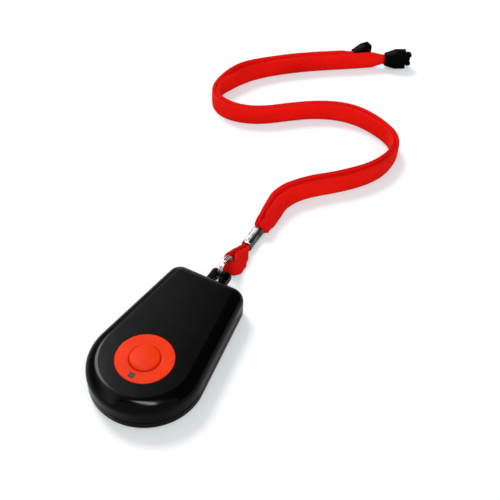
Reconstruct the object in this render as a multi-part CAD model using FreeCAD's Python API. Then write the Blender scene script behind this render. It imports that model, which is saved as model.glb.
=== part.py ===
import FreeCAD
import Part
import math
import os
from FreeCAD import Vector

# Nurse call pendant: a small black transmitter with one red call button, a split ring in the
# eye at its top end, and a red safety lanyard that lies open on the table.
# Millimetres. The origin is on the flat back, under the centre of the case's round end.
# +X is to the right, +Y points to the top end with the eye, and +Z comes out of the front.

# Case, seen from the front: a round end and straight sides that lean in to a narrower top end.
ROUND_RADIUS = 23.5
TOP_Y = 50.2
TOP_HALF_WIDTH = 17.2  # where the line of a side would meet the top end
CORNER_RADIUS = 5.8
CASE_HEIGHT = 14.4
PARTING_Z = 4.9  # height of the joint between the two covers
FACE_ROUND = 5.2
BACK_ROUND = 2.4
PARTING_BEVEL = 0.35
WALL = 2.0
FACE_WALL = 1.8
BACK_WALL = 1.6

# Tongue on the rear cover, and the rebate in the front cover that it enters.
REBATE_INSET = 1.0
TONGUE_INSET = 1.1
TONGUE_HEIGHT = 1.4
SEAL_HEIGHT = 0.8

# Call button, its red disc and the little light window in the disc.
BUTTON_Y = -0.7
DISC_RADIUS = 11.7
DISC_THICKNESS = 1.2
DISC_PROUD = 0.2
DISC_SEAT_WALL = 1.4
DISC_SEAT_RADIUS = 13.2
DISC_PLAY = 0.1
BUTTON_RADIUS = 6.1
BUTTON_PLAY = 0.1
BUTTON_SHOULDER = 0.9
BUTTON_EDGE_RISE = 0.85  # its shoulder above the disc
BUTTON_CROWN_RISE = 1.3  # its highest point above the disc
BUTTON_WALL = 1.2
BUTTON_FLANGE_RADIUS = 7.4
BUTTON_FLANGE_HEIGHT = 0.8
BUTTON_FLANGE_GAP = 0.3
BUTTON_TRAVEL = 0.6
STEM_RADIUS = 1.6
WINDOW_SIZE = 2.4
WINDOW_DISTANCE = 9.1  # from the button's axis, towards the round end
WINDOW_PLAY = 0.05
WINDOW_RECESS = 0.05
WINDOW_COLLAR = 0.6
WINDOW_COLLAR_HEIGHT = 0.8

# Screws through the rear cover and the board into the front cover.
POST_RADIUS = 3.1
ROUND_SCREW_SETBACK = 1.0  # from the wall's inside to the post
ROUND_SCREW_ANGLE = 43.6  # below the X axis, seen from the front
TOP_SCREW_SETBACK = (1.7, 2.5)  # from the side's and the top end's walls to the post
SCREW_RADIUS = 1.0
SCREW_PLAY = 0.05
SCREW_SLEEVE_PLAY = 0.2
SCREW_LENGTH = 9.4
HEAD_RADIUS = 1.9
HEAD_HEIGHT = 1.2
HEAD_PLAY = 0.25
HEAD_SINK = 0.5
CROSS_WIDTH = 0.45
CROSS_LENGTH = 2.2
CROSS_DEPTH = 0.6

# Circuit board and what is soldered to it.
BOARD_Z = 6.0
BOARD_THICKNESS = 1.0
BOARD_INSET = 2.7
SWITCH_SIZE = 6.0
SWITCH_HEIGHT = 3.3
PLUNGER_RADIUS = 1.7
PLUNGER_SINK = 0.9
LED_SIZE = (2.0, 1.3)
LED_HEIGHT = 0.8
LED_GAP = 0.3
CONTROLLER_SIZE = 5.0
CONTROLLER_Y = 16.5
RADIO_SIZE = 4.0
RADIO_PLACE = (-5.0, 26.5)
CHIP_HEIGHT = 0.9
CRYSTAL_LENGTH = 10.6
CRYSTAL_WIDTH = 4.2
CRYSTAL_HEIGHT = 3.4
CRYSTAL_PLACE = (6.2, 27.0)
CAPACITOR_SIZE = (1.6, 0.8, 0.8)
CAPACITOR_PLACES = ((-6.5, 16.0), (-6.5, 18.5), (6.0, 15.5), (6.0, 18.0), (-1.2, 22.6), (1.6, 30.5))
AERIAL_RADIUS = 0.4
AERIAL_HALF_WIDTH = 7.0
AERIAL_NEAR_Y = 33.5
AERIAL_FAR_Y = 38.2
AERIAL_RISE = 2.4
AERIAL_BEND = 1.2

# Coin cell under the board, between two contacts.
CELL_RADIUS = 10.0
CELL_HEIGHT = 3.2
CELL_CAP_RADIUS = 8.8
CELL_CAP_HEIGHT = 0.6
CONTACT_SHEET = 0.4
CLIP_WIDTH = 6.0
CLIP_PLAY = 0.6
CLIP_FOOT = 1.6
CONTACT_LENGTH = 12.0
CONTACT_WIDTH = 5.0
CELL_RIB_WIDTH = 1.2
CELL_RIB_SPACING = 6.0

# Eye for the split ring, moulded on the rear cover: two tall arms with a round bar between them.
# The arms cross the joint between the covers, so the front cover is notched round them.
EYE_BAR_RADIUS = 1.6
EYE_BAR_Y = 59.4
EYE_GAP = 2.6
EYE_ARM_THICKNESS = 3.2
EYE_ARM_HEIGHT = 5.2
EYE_OUTER_ROUND = 1.5
EYE_INNER_ROUND = 0.4
EYE_NOTCH_PLAY = 0.05

# Split ring of two turns.
RING_RADIUS = 6.0
RING_WIRE = 1.1
RING_TURN = 0.92
RING_PLAY = 0.2
RING_EDGE = 0.2
RING_END_GAP = 0.4

# Lanyard strap: a flat tubular tape that stands on its edge.
STRAP_WIDTH = 10.0
STRAP_THICKNESS = 1.8
STRAND_GAP = 0.2
STRAP_GATHER = 3.7  # its width where the crimp squeezes it
STRAP_AT_RING = 6.0  # its width where it passes through the ring
STRAP_AT_CLASP = 5.8
STRAP_TAPER = 8.0
CRIMP_START_Y = 82.0
CRIMP_LENGTH = 12.0
CRIMP_SHEET = 0.45
CRIMP_SEAM = 0.4
LOOP_SPREAD_Y = 74.0  # where the loop has opened to nearly its whole width
LOOP_SPREAD_WIDTH = 9.4
GATHER_END_Y = 104.0

# The strap's course on the table, from the ring to each half of the clasp. The points are the
# corners of straight runs that arcs round off.
OUTER_STRAND = (
    (2.5, 65.0),
    (3.6, 69.8),
    (1.0, 78.4),
    (1.0, 97.8),
    (2.6, 106.0),
    (2.7, 115.3),
    (5.5, 123.6),
    (11.6, 131.1),
    (18.5, 137.8),
    (25.1, 146.0),
    (31.0, 154.6),
    (34.7, 163.2),
    (36.2, 171.8),
    (35.8, 179.7),
    (32.0, 186.5),
    (25.4, 191.3),
    (15.9, 195.0),
    (5.0, 196.8),
    (-5.4, 195.2),
    (-16.9, 190.0),
    (-28.3, 181.5),
    (-38.4, 172.5),
    (-48.0, 167.8),
    (-57.1, 166.5),
    (-64.4, 169.2),
    (-68.4, 174.9),
    (-69.6, 181.9),
    (-68.1, 189.7),
    (-64.7, 198.0),
    (-59.1, 206.5),
    (-51.9, 214.8),
    (-43.2, 223.2),
    (-33.2, 231.5),
    (-22.3, 239.4),
    (-14.4, 245.4),
)
INNER_STRAND = (
    (-2.5, 65.0),
    (-3.6, 69.8),
    (-1.0, 78.4),
    (-1.0, 97.8),
    (0.4, 106.0),
    (0.6, 115.8),
    (3.7, 124.6),
    (10.0, 132.5),
    (16.9, 139.2),
    (23.5, 147.3),
    (29.2, 155.6),
    (32.7, 163.8),
    (34.2, 171.9),
    (33.8, 179.1),
    (30.4, 185.2),
    (24.4, 189.5),
    (15.4, 193.0),
    (5.0, 194.7),
    (-4.8, 193.2),
    (-15.8, 188.3),
    (-27.1, 179.9),
    (-37.2, 170.8),
    (-47.4, 165.8),
    (-57.4, 164.2),
    (-65.8, 167.4),
    (-70.5, 174.0),
    (-71.8, 181.9),
    (-70.3, 190.4),
    (-66.4, 199.0),
    (-60.7, 207.7),
    (-53.4, 216.2),
    (-44.5, 224.7),
    (-34.5, 233.2),
    (-28.3, 238.4),
)
ARC_SHARE = 0.45  # share of the shorter run that an arc takes

# Safety clasp, which lies open: a socket and a plug of the same outside section.
SOCKET_PLACE = (-18.5, 248.6)
SOCKET_HEADING = 56.5
PLUG_PLACE = (-1.0, 254.5)
PLUG_HEADING = 33.0
STRAP_END_RUN = 7.0  # straight run of the strap into each half
CLASP_WIDTH = 11.0  # upright, as the strap stands on its edge
CLASP_THICKNESS = 5.8
CLASP_END_WIDTH = 7.2
CLASP_END_THICKNESS = 4.4
CLASP_TAPER = 6.0
CLASP_ROUND = 1.4
SOCKET_LENGTH = 10.6
SOCKET_DEPTH = 4.4
SOCKET_WALL = 1.1
SOCKET_WINDOW = 2.2
PLUG_BODY_LENGTH = 12.0
PRONG_LENGTH = 3.4
PRONG_WIDTH = 2.2
PRONG_BARB = 0.6
TONGUE_LENGTH = 2.8
TONGUE_WIDTH = 3.2
CLASP_FIT = 0.3


def cylinder(radius, z_low, z_high, x=0.0, y=0.0):
    """An upright cylinder between two heights."""
    return Part.makeCylinder(radius, z_high - z_low, Vector(x, y, z_low))


def block(x_size, y_size, z_low, z_high, x=0.0, y=0.0):
    """An upright block, centred on x and y."""
    return Part.makeBox(x_size, y_size, z_high - z_low, Vector(x - x_size / 2, y - y_size / 2, z_low))


def edges_at(shape, z):
    """The edges that lie wholly at one height."""
    level = [e for e in shape.Edges if abs(e.CenterOfMass.z - z) < 1e-6]
    return [e for e in level if all(abs(v.Z - z) < 1e-6 for v in e.Vertexes)]


def edges_along(shape, way):
    """The edges that run in one direction."""
    return [e for e in shape.Edges if abs(e.tangentAt(e.FirstParameter).dot(way)) > 0.99]


def case_outline(inset, z):
    """The case's outline at height z, moved inwards by inset."""
    reach = math.hypot(TOP_HALF_WIDTH, TOP_Y)
    lean = math.atan2(TOP_Y, TOP_HALF_WIDTH) - math.acos(ROUND_RADIUS / reach)
    side_x, side_y = math.cos(lean), math.sin(lean)
    radius = ROUND_RADIUS - inset
    top = TOP_Y - inset
    corner = max(CORNER_RADIUS - inset, CORNER_RADIUS / 10)
    corner_y = top - corner
    corner_x = (radius - corner - side_y * corner_y) / side_x
    half = (lean + math.pi / 2) / 2

    def right(x, y):
        return Vector(x, y, z)

    def left(x, y):
        return Vector(-x, y, z)

    side_ends = right(radius * side_x, radius * side_y), left(radius * side_x, radius * side_y)
    edges = [Part.Arc(side_ends[0], right(0, -radius), side_ends[1])]
    places = []
    for side in (left, right):
        low = side(radius * side_x, radius * side_y)
        high = side(corner_x + corner * side_x, corner_y + corner * side_y)
        middle = side(corner_x + corner * math.cos(half), corner_y + corner * math.sin(half))
        end = side(corner_x, top)
        places.append((low, high, middle, end))
    (left_low, left_high, left_middle, left_end), (right_low, right_high, right_middle, right_end) = places
    edges.append(Part.LineSegment(left_low, left_high))
    edges.append(Part.Arc(left_high, left_middle, left_end))
    edges.append(Part.LineSegment(left_end, right_end))
    edges.append(Part.Arc(right_end, right_middle, right_high))
    edges.append(Part.LineSegment(right_high, right_low))
    return Part.Wire([e.toShape() for e in edges])


def case_slab(inset, z_low, z_high):
    """A slab with the case's outline, between two heights."""
    return Part.Face(case_outline(inset, z_low)).extrude(Vector(0, 0, z_high - z_low))


# Heights that several pieces share.
CEILING_Z = CASE_HEIGHT - FACE_WALL
DISC_BOTTOM_Z = CASE_HEIGHT + DISC_PROUD - DISC_THICKNESS
DISC_TOP_Z = CASE_HEIGHT + DISC_PROUD
SEAT_UNDER_Z = DISC_BOTTOM_Z - DISC_SEAT_WALL
FLANGE_TOP_Z = SEAT_UNDER_Z - BUTTON_FLANGE_GAP
FLANGE_BOTTOM_Z = FLANGE_TOP_Z - BUTTON_FLANGE_HEIGHT
TONGUE_TOP_Z = PARTING_Z + TONGUE_HEIGHT
REBATE_TOP_Z = TONGUE_TOP_Z + SEAL_HEIGHT
BOARD_TOP_Z = BOARD_Z + BOARD_THICKNESS
HEAD_TOP_Z = HEAD_SINK + HEAD_HEIGHT
SCREW_TIP_Z = HEAD_TOP_Z + SCREW_LENGTH
CELL_TOP_Z = BOARD_Z - CONTACT_SHEET
CELL_BOTTOM_Z = CELL_TOP_Z - CELL_HEIGHT
CLIP_BOTTOM_Z = CELL_BOTTOM_Z - CONTACT_SHEET
SWITCH_TOP_Z = BOARD_TOP_Z + SWITCH_HEIGHT
WINDOW_Y = BUTTON_Y - WINDOW_DISTANCE
WINDOW_BOTTOM_Z = BOARD_TOP_Z + LED_HEIGHT + LED_GAP
TOP_SCREW = (
    TOP_HALF_WIDTH - WALL - POST_RADIUS - TOP_SCREW_SETBACK[0],
    TOP_Y - WALL - POST_RADIUS - TOP_SCREW_SETBACK[1],
)
ROUND_SCREW_REACH = ROUND_RADIUS - WALL - POST_RADIUS - ROUND_SCREW_SETBACK
ROUND_SCREW = (
    ROUND_SCREW_REACH * math.cos(math.radians(ROUND_SCREW_ANGLE)),
    -ROUND_SCREW_REACH * math.sin(math.radians(ROUND_SCREW_ANGLE)),
)
SCREW_PLACES = [(side * x, y) for x, y in (TOP_SCREW, ROUND_SCREW) for side in (-1, 1)]

# The ring stands on the table and hangs on the eye's bar.
RING_HANG = RING_RADIUS - RING_WIRE - EYE_BAR_RADIUS - RING_PLAY
EYE_BAR_Z = PARTING_Z
RING_Y = EYE_BAR_Y + math.sqrt(max(RING_HANG**2 - (RING_RADIUS - EYE_BAR_Z) ** 2, 0.0))

# The crimp lies on the table, so its middle is half its height up.
CRIMP_HEIGHT = STRAP_GATHER + 2 * CRIMP_SHEET
CRIMP_HALF_WIDTH = OUTER_STRAND[2][0] + STRAP_THICKNESS / 2 + CRIMP_SHEET
CRIMP_END_Y = CRIMP_START_Y + CRIMP_LENGTH


def front_cover():
    """The front shell, with the disc's seat, the button's hole, the window's hole and screw bosses."""
    shell = case_slab(0, PARTING_Z, CASE_HEIGHT)
    shell = shell.makeFillet(min(FACE_ROUND, CORNER_RADIUS - 0.3), edges_at(shell, CASE_HEIGHT))
    shell = shell.makeChamfer(PARTING_BEVEL, edges_at(shell, PARTING_Z))
    hollow = case_slab(WALL, PARTING_Z - 1, CEILING_Z)
    inner_round = min(FACE_ROUND, CORNER_RADIUS - 0.3) - WALL
    hollow = hollow.makeFillet(inner_round, edges_at(hollow, CEILING_Z))
    shell = shell.cut(hollow.fuse(case_slab(REBATE_INSET, PARTING_Z - 1, REBATE_TOP_Z)))
    seat = cylinder(DISC_SEAT_RADIUS, SEAT_UNDER_Z, CEILING_Z + 0.2, 0, BUTTON_Y)
    bosses = [cylinder(POST_RADIUS, BOARD_TOP_Z, CEILING_Z + 0.2, x, y) for x, y in SCREW_PLACES]
    shell = shell.fuse([seat] + bosses)
    cuts = [cylinder(DISC_RADIUS + DISC_PLAY, DISC_BOTTOM_Z, CASE_HEIGHT + 1, 0, BUTTON_Y)]
    cuts.append(cylinder(BUTTON_RADIUS + BUTTON_PLAY, SEAT_UNDER_Z - 1, CASE_HEIGHT, 0, BUTTON_Y))
    window_hole = WINDOW_SIZE + 2 * WINDOW_PLAY
    cuts.append(block(window_hole, window_hole, SEAT_UNDER_Z - 1, CASE_HEIGHT, 0, WINDOW_Y))
    for x, y in SCREW_PLACES:
        cuts.append(cylinder(SCREW_RADIUS + SCREW_PLAY, BOARD_TOP_Z - 1, SCREW_TIP_Z + 0.2, x, y))
    cuts += [eye_arm(side, EYE_NOTCH_PLAY) for side in (-1, 1)]
    return shell.cut(cuts).removeSplitter()


def eye_arm(side, play):
    """One arm of the eye: a plate with a round end that grows out of the tongue."""
    half = EYE_ARM_HEIGHT / 2 + play
    inner_x = EYE_GAP / 2 - play
    outer_x = EYE_GAP / 2 + EYE_ARM_THICKNESS + play
    root_y = TOP_Y - TONGUE_INSET - play
    round_y = EYE_BAR_Y + EYE_BAR_RADIUS - EYE_ARM_HEIGHT / 2
    thick = outer_x - inner_x
    plate = Part.makeBox(thick, round_y - root_y, 2 * half, Vector(inner_x, root_y, EYE_BAR_Z - half))
    end = Part.makeCylinder(half, thick, Vector(inner_x, round_y, EYE_BAR_Z), Vector(1, 0, 0))
    arm = plate.fuse(end).removeSplitter()
    for x, radius in ((outer_x, EYE_OUTER_ROUND + play), (inner_x, EYE_INNER_ROUND)):
        rim = [e for e in arm.Edges if abs(e.BoundBox.XMin - x) < 1e-3 and abs(e.BoundBox.XMax - x) < 1e-3]
        arm = arm.makeFillet(radius, [e for e in rim if e.CenterOfMass.y > root_y + 0.01])
    if side < 0:
        arm = arm.mirror(Vector(0, 0, 0), Vector(1, 0, 0))
    return arm


def eye():
    """The eye at the top end, with the bar that the split ring hangs on."""
    reach = EYE_GAP / 2 + EYE_ARM_THICKNESS / 2
    bar = Part.makeCylinder(EYE_BAR_RADIUS, 2 * reach, Vector(-reach, EYE_BAR_Y, EYE_BAR_Z), Vector(1, 0, 0))
    return bar.fuse([eye_arm(-1, 0), eye_arm(1, 0)])


def rear_cover():
    """The rear shell, with its tongue, screw posts, ribs under the cell and the eye."""
    shell = case_slab(0, 0, PARTING_Z)
    shell = shell.makeFillet(BACK_ROUND, edges_at(shell, 0))
    shell = shell.makeChamfer(PARTING_BEVEL, edges_at(shell, PARTING_Z))
    tongue = case_slab(TONGUE_INSET, PARTING_Z - 1, TONGUE_TOP_Z)
    shell = shell.fuse(tongue).cut(case_slab(WALL, BACK_WALL, TONGUE_TOP_Z + 1))
    posts = [cylinder(POST_RADIUS, BACK_WALL - 0.2, BOARD_Z, x, y) for x, y in SCREW_PLACES]
    rib_length = 2 * (CELL_RADIUS - 2)
    ribs = [
        block(CELL_RIB_WIDTH, rib_length, BACK_WALL - 0.2, CLIP_BOTTOM_Z, x, BUTTON_Y)
        for x in (-CELL_RIB_SPACING, 0, CELL_RIB_SPACING)
    ]
    shell = shell.fuse(posts + ribs + [eye()])
    cuts = []
    for x, y in SCREW_PLACES:
        cuts.append(cylinder(HEAD_RADIUS + HEAD_PLAY, -1, HEAD_TOP_Z, x, y))
        cuts.append(cylinder(SCREW_RADIUS + SCREW_SLEEVE_PLAY, HEAD_TOP_Z - 0.5, BOARD_Z + 1, x, y))
    return shell.cut(cuts).removeSplitter()


def case_seal():
    """The rubber gasket that the tongue squeezes into the front cover's rebate."""
    seal = case_slab(TONGUE_INSET, TONGUE_TOP_Z, REBATE_TOP_Z)
    return seal.cut(case_slab(WALL, TONGUE_TOP_Z, REBATE_TOP_Z))


def case_screws():
    """Four pan-head screws from the back."""
    screws = []
    for x, y in SCREW_PLACES:
        head = cylinder(HEAD_RADIUS, HEAD_SINK, HEAD_TOP_Z, x, y)
        head = head.makeFillet(HEAD_HEIGHT / 3, edges_at(head, HEAD_SINK))
        screw = head.fuse(cylinder(SCREW_RADIUS, HEAD_TOP_Z - 0.1, SCREW_TIP_Z, x, y))
        for sizes in ((CROSS_LENGTH, CROSS_WIDTH), (CROSS_WIDTH, CROSS_LENGTH)):
            screw = screw.cut(block(sizes[0], sizes[1], HEAD_SINK - 1, HEAD_SINK + CROSS_DEPTH, x, y))
        screws.append(screw.removeSplitter())
    return Part.makeCompound(screws)


def button_disc():
    """The red disc round the button, let into the front cover."""
    disc = cylinder(DISC_RADIUS, DISC_BOTTOM_Z, DISC_TOP_Z, 0, BUTTON_Y)
    disc = disc.makeFillet(0.3, edges_at(disc, DISC_TOP_Z))
    disc = disc.cut(cylinder(BUTTON_RADIUS + BUTTON_PLAY, DISC_BOTTOM_Z - 1, DISC_TOP_Z + 1, 0, BUTTON_Y))
    rim = [e for e in edges_at(disc, DISC_TOP_Z) if abs(e.Curve.Radius - BUTTON_RADIUS - BUTTON_PLAY) < 1e-3]
    disc = disc.makeFillet(DISC_THICKNESS / 2, rim)
    window_hole = WINDOW_SIZE + 2 * WINDOW_PLAY
    return disc.cut(block(window_hole, window_hole, DISC_BOTTOM_Z - 1, DISC_TOP_Z + 1, 0, WINDOW_Y))


def call_button():
    """The domed button: a cap with a flange under the disc's seat and a stem to the switch."""
    edge_z = DISC_TOP_Z + BUTTON_EDGE_RISE
    crown_z = DISC_TOP_Z + BUTTON_CROWN_RISE
    sag = crown_z - edge_z
    half = BUTTON_RADIUS / 2
    sphere = (BUTTON_RADIUS**2 + sag**2) / (2 * sag)
    half_z = crown_z - sphere + math.sqrt(sphere**2 - half**2)
    roof_z = edge_z - BUTTON_WALL
    inner = BUTTON_RADIUS - BUTTON_WALL

    def at(radius, z):
        return Vector(radius, BUTTON_Y, z)

    corners = [at(0, crown_z), at(BUTTON_RADIUS, edge_z), at(BUTTON_RADIUS, FLANGE_TOP_Z)]
    corners += [at(BUTTON_FLANGE_RADIUS, FLANGE_TOP_Z), at(BUTTON_FLANGE_RADIUS, FLANGE_BOTTOM_Z)]
    corners += [at(inner, FLANGE_BOTTOM_Z), at(inner, roof_z), at(STEM_RADIUS, roof_z)]
    corners += [at(STEM_RADIUS, FLANGE_BOTTOM_Z), at(0, FLANGE_BOTTOM_Z), at(0, crown_z)]
    edges = [Part.Arc(corners[0], at(half, half_z), corners[1]).toShape()]
    edges += [Part.LineSegment(a, b).toShape() for a, b in zip(corners[1:-1], corners[2:])]
    cap = Part.Face(Part.Wire(edges)).revolve(Vector(0, BUTTON_Y, 0), Vector(0, 0, 1), 360)
    return cap.makeFillet(BUTTON_SHOULDER, edges_at(cap, edge_z))


def led_window():
    """The light guide from the lamp to the disc, held by a collar under the disc's seat."""
    guide = block(WINDOW_SIZE, WINDOW_SIZE, WINDOW_BOTTOM_Z, DISC_TOP_Z - WINDOW_RECESS, 0, WINDOW_Y)
    collar_y = WINDOW_Y - WINDOW_COLLAR / 2
    collar = block(
        WINDOW_SIZE + 2 * WINDOW_COLLAR,
        WINDOW_SIZE + WINDOW_COLLAR,
        SEAT_UNDER_Z - WINDOW_COLLAR_HEIGHT,
        SEAT_UNDER_Z,
        0,
        collar_y,
    )
    return guide.fuse(collar).removeSplitter()


def circuit_board():
    """The board, which the screw posts clamp at four holes."""
    board = case_slab(BOARD_INSET, BOARD_Z, BOARD_TOP_Z)
    hole_radius = SCREW_RADIUS + SCREW_SLEEVE_PLAY
    holes = [cylinder(hole_radius, BOARD_Z - 1, BOARD_TOP_Z + 1, x, y) for x, y in SCREW_PLACES]
    return board.cut(holes)


def switch_body():
    """The push switch under the button, with the well for its plunger."""
    body = block(SWITCH_SIZE, SWITCH_SIZE, BOARD_TOP_Z, SWITCH_TOP_Z, 0, BUTTON_Y)
    body = body.makeChamfer(SWITCH_SIZE / 12, edges_along(body, Vector(0, 0, 1)))
    well_bottom = SWITCH_TOP_Z - PLUNGER_SINK - BUTTON_TRAVEL - 0.2
    return body.cut(cylinder(PLUNGER_RADIUS + 0.05, well_bottom, SWITCH_TOP_Z + 1, 0, BUTTON_Y))


def switch_plunger():
    """The switch's plunger, under the button's stem."""
    return cylinder(PLUNGER_RADIUS, SWITCH_TOP_Z - PLUNGER_SINK, FLANGE_BOTTOM_Z, 0, BUTTON_Y)


def indicator_led():
    """The lamp under the light guide."""
    base = block(LED_SIZE[0], LED_SIZE[1], BOARD_TOP_Z, BOARD_TOP_Z + LED_HEIGHT / 2, 0, WINDOW_Y)
    lens = block(LED_SIZE[0] * 0.6, LED_SIZE[1], BOARD_TOP_Z, BOARD_TOP_Z + LED_HEIGHT, 0, WINDOW_Y)
    return base.fuse(lens).removeSplitter()


def chip(size, x, y):
    """A square chip with bevelled upper edges."""
    body = block(size, size, BOARD_TOP_Z, BOARD_TOP_Z + CHIP_HEIGHT, x, y)
    return body.makeChamfer(CHIP_HEIGHT / 5, edges_at(body, BOARD_TOP_Z + CHIP_HEIGHT))


def crystal():
    """The radio's crystal in its oval can."""
    x, y = CRYSTAL_PLACE
    straight = CRYSTAL_LENGTH - CRYSTAL_WIDTH
    top = BOARD_TOP_Z + CRYSTAL_HEIGHT
    can = block(CRYSTAL_WIDTH, straight, BOARD_TOP_Z, top, x, y)
    ends = [cylinder(CRYSTAL_WIDTH / 2, BOARD_TOP_Z, top, x, y + side * straight / 2) for side in (-1, 1)]
    can = can.fuse(ends).removeSplitter()
    return can.makeFillet(CRYSTAL_HEIGHT / 8, edges_at(can, top))


def chip_capacitors():
    """The small capacitors round the chips, one solid each."""
    x_size, y_size, height = CAPACITOR_SIZE
    return Part.makeCompound(
        [block(x_size, y_size, BOARD_TOP_Z, BOARD_TOP_Z + height, x, y) for x, y in CAPACITOR_PLACES]
    )


def aerial():
    """The radio's aerial: a bent wire that stands on the board by its two ends."""
    high = BOARD_TOP_Z + AERIAL_RISE
    corners = [
        Vector(-AERIAL_HALF_WIDTH, AERIAL_NEAR_Y, BOARD_TOP_Z),
        Vector(-AERIAL_HALF_WIDTH, AERIAL_NEAR_Y, high),
        Vector(-AERIAL_HALF_WIDTH, AERIAL_FAR_Y, high),
        Vector(AERIAL_HALF_WIDTH, AERIAL_FAR_Y, high),
        Vector(AERIAL_HALF_WIDTH, AERIAL_NEAR_Y, high),
        Vector(AERIAL_HALF_WIDTH, AERIAL_NEAR_Y, BOARD_TOP_Z),
    ]
    edges = []
    start = corners[0]
    for before, corner, after in zip(corners, corners[1:], corners[2:]):
        in_way = (corner - before).normalize()
        out_way = (after - corner).normalize()
        bend_start = corner - in_way * AERIAL_BEND
        bend_end = corner + out_way * AERIAL_BEND
        middle = corner + (out_way - in_way) * (AERIAL_BEND * (1 - math.sqrt(0.5)))
        edges.append(Part.LineSegment(start, bend_start).toShape())
        edges.append(Part.Arc(bend_start, middle, bend_end).toShape())
        start = bend_end
    edges.append(Part.LineSegment(start, corners[-1]).toShape())
    section = Part.Wire(Part.makeCircle(AERIAL_RADIUS, corners[0], Vector(0, 0, 1)))
    return Part.Wire(edges).makePipeShell([section], True, True)


def coin_cell():
    """The coin cell, its smaller negative cap towards the board."""
    can = cylinder(CELL_RADIUS, CELL_BOTTOM_Z, CELL_TOP_Z - CELL_CAP_HEIGHT, 0, BUTTON_Y)
    rims = edges_at(can, CELL_BOTTOM_Z) + edges_at(can, CELL_TOP_Z - CELL_CAP_HEIGHT)
    can = can.makeFillet(CELL_HEIGHT / 8, rims)
    cap = cylinder(CELL_CAP_RADIUS, CELL_TOP_Z - CELL_CAP_HEIGHT - 0.1, CELL_TOP_Z, 0, BUTTON_Y)
    return can.fuse(cap).removeSplitter()


def positive_clip():
    """The contact strip under the cell, with a leg at each side up to the board."""
    leg_x = CELL_RADIUS + CLIP_PLAY + CONTACT_SHEET / 2
    width = 2 * leg_x + CONTACT_SHEET
    clip = block(width, CLIP_WIDTH, CLIP_BOTTOM_Z, CELL_BOTTOM_Z, 0, BUTTON_Y)
    for side in (-1, 1):
        leg = block(CONTACT_SHEET, CLIP_WIDTH, CLIP_BOTTOM_Z, BOARD_Z, side * leg_x, BUTTON_Y)
        foot_x = side * (leg_x + CLIP_FOOT / 2)
        foot = block(CLIP_FOOT, CLIP_WIDTH, BOARD_Z - CONTACT_SHEET, BOARD_Z, foot_x, BUTTON_Y)
        clip = clip.fuse([leg, foot])
    return clip.removeSplitter()


def negative_contact():
    """The contact plate between the board and the cell's cap."""
    plate = block(CONTACT_WIDTH, CONTACT_LENGTH, CELL_TOP_Z, BOARD_Z, 0, BUTTON_Y)
    return plate.makeFillet(CONTACT_WIDTH / 4, edges_along(plate, Vector(0, 0, 1)))


def split_ring():
    """The ring of two turns of flat wire. It stands upright, across the eye's bar."""
    inner = RING_RADIUS - RING_WIRE
    turns = []
    for side in (-1, 1):
        low, high = sorted((0, side * RING_TURN))
        turn = Part.makeCylinder(RING_RADIUS, high - low, Vector(low, 0, 0), Vector(1, 0, 0))
        turn = turn.cut(Part.makeCylinder(inner, high - low + 2, Vector(low - 1, 0, 0), Vector(1, 0, 0)))
        rims = [e for e in turn.Edges if len(e.Vertexes) == 1]
        turn = turn.makeChamfer(RING_EDGE, rims)
        corner = Vector(low, -RING_RADIUS - 0.5, -RING_END_GAP / 2)
        end = Part.makeBox(high - low, RING_WIRE + 1, RING_END_GAP, corner)
        end.rotate(Vector(0, 0, 0), Vector(1, 0, 0), 25 * side)
        turns.append(turn.cut(end))
    ring = turns[0].fuse(turns[1]).removeSplitter()
    ring.translate(Vector(0, RING_Y, RING_RADIUS))
    return ring


def clasp_run(place, heading):
    """The strap's last straight run at a half of the clasp, from that half outwards."""
    x = place[0] - STRAP_END_RUN * math.cos(math.radians(heading))
    y = place[1] - STRAP_END_RUN * math.sin(math.radians(heading))
    return [place, (x, y)]


def strap_course():
    """The strap's whole course as one list of points, from the socket through the ring to the plug."""
    points = clasp_run(SOCKET_PLACE, SOCKET_HEADING) + list(reversed(INNER_STRAND))
    points += list(OUTER_STRAND) + list(reversed(clasp_run(PLUG_PLACE, PLUG_HEADING)))
    return [Vector(x, y, 0) for x, y in points]


def rounded_corners(points):
    """For each corner: where its arc starts and ends, its centre, its radius and its turn."""
    bends = []
    for before, corner, after in zip(points, points[1:], points[2:]):
        in_run, out_run = corner - before, after - corner
        in_way = Vector(in_run).normalize()
        out_way = Vector(out_run).normalize()
        turn = math.atan2(in_way.x * out_way.y - in_way.y * out_way.x, in_way.dot(out_way))
        cut = ARC_SHARE * min(in_run.Length, out_run.Length)
        radius = cut / math.tan(abs(turn) / 2)
        side = 1 if turn > 0 else -1
        start = corner - in_way * cut
        centre = start + Vector(-in_way.y, in_way.x, 0) * radius * side
        end = corner + out_way * cut
        bends.append({"start": start, "end": end, "centre": centre, "radius": radius, "turn": turn})
    return bends


def strap_side(points, bends, offset):
    """One edge line of the strap, seen from above, offset to the left of its course."""
    edges = []

    def shifted(point, way):
        return point + Vector(-way.y, way.x, 0) * offset

    way = (points[1] - points[0]).normalize()
    here = shifted(points[0], way)
    for bend in bends:
        start = bend["centre"] + (bend["start"] - bend["centre"]) * arc_scale(bend, offset)
        end = bend["centre"] + (bend["end"] - bend["centre"]) * arc_scale(bend, offset)
        out = ((bend["start"] + bend["end"]) * 0.5 - bend["centre"]).normalize()
        middle = bend["centre"] + out * (bend["radius"] * arc_scale(bend, offset))
        edges.append(Part.LineSegment(here, start).toShape())
        edges.append(Part.Arc(start, middle, end).toShape())
        here = end
    way = (points[-1] - points[-2]).normalize()
    last = shifted(points[-1], way)
    edges.append(Part.LineSegment(here, last).toShape())
    return edges, last


def arc_scale(bend, offset):
    """How much larger or smaller an arc's radius is on a line offset to the left."""
    side = 1 if bend["turn"] > 0 else -1
    return (bend["radius"] - side * offset) / bend["radius"]


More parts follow.
